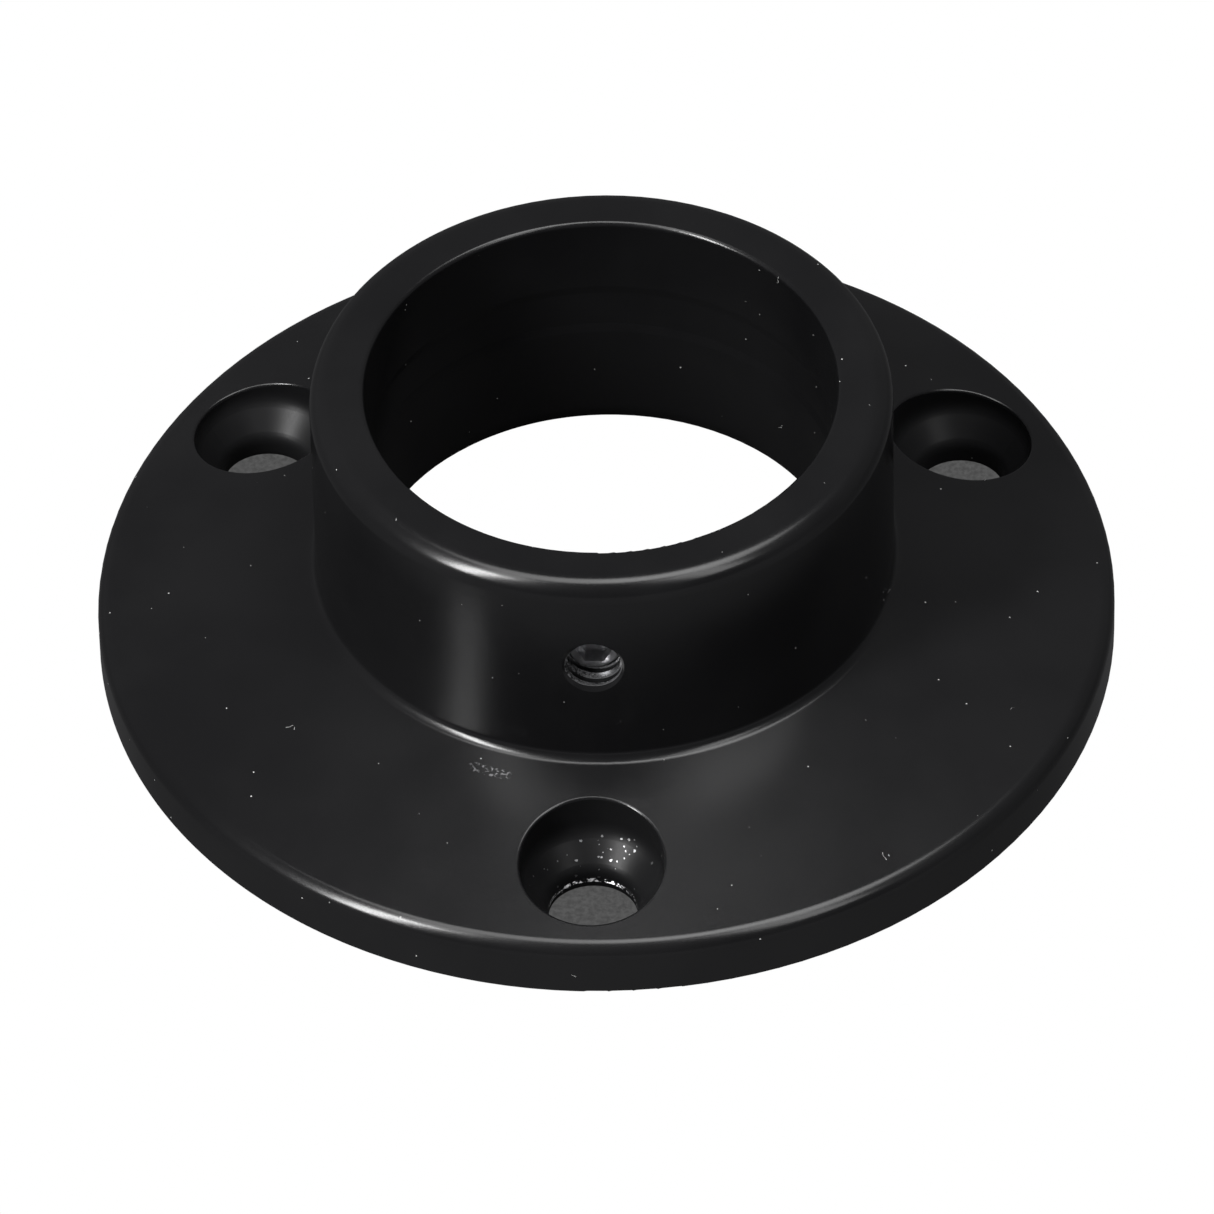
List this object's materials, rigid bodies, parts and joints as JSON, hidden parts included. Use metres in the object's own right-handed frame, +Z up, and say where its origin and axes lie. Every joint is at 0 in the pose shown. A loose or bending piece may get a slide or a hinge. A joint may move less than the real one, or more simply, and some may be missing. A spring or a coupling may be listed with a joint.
{
  "type": "stanchion base",
  "caption": "Round flanged base with a short bored collar that holds an upright tube, a set screw in the collar wall, and recessed mounting screw holes in a gently sloping flange.",
  "frame": {"origin": "centre of the flat mounting face, on the bore's axis", "axes": "+Z up along the bore, away from the mounting face; -Y towards the set screw and the mounting hole below it"},
  "size_m": [0.0762, 0.0762, 0.0254],
  "materials": {
    "black_coat": "satin",
    "screw_steel": "satin"
  },
  "bodies": {
    "base": {"base": "black_coat"},
    "set_screw": {"set_screw": "screw_steel"}
  },
  "joints": [
    {"name": "set_screw_travel", "type": "slide", "parent": "base", "child": "set_screw", "axis": [0, 1, 0], "range_m": [-0.0016, 0.001]}
  ]
}
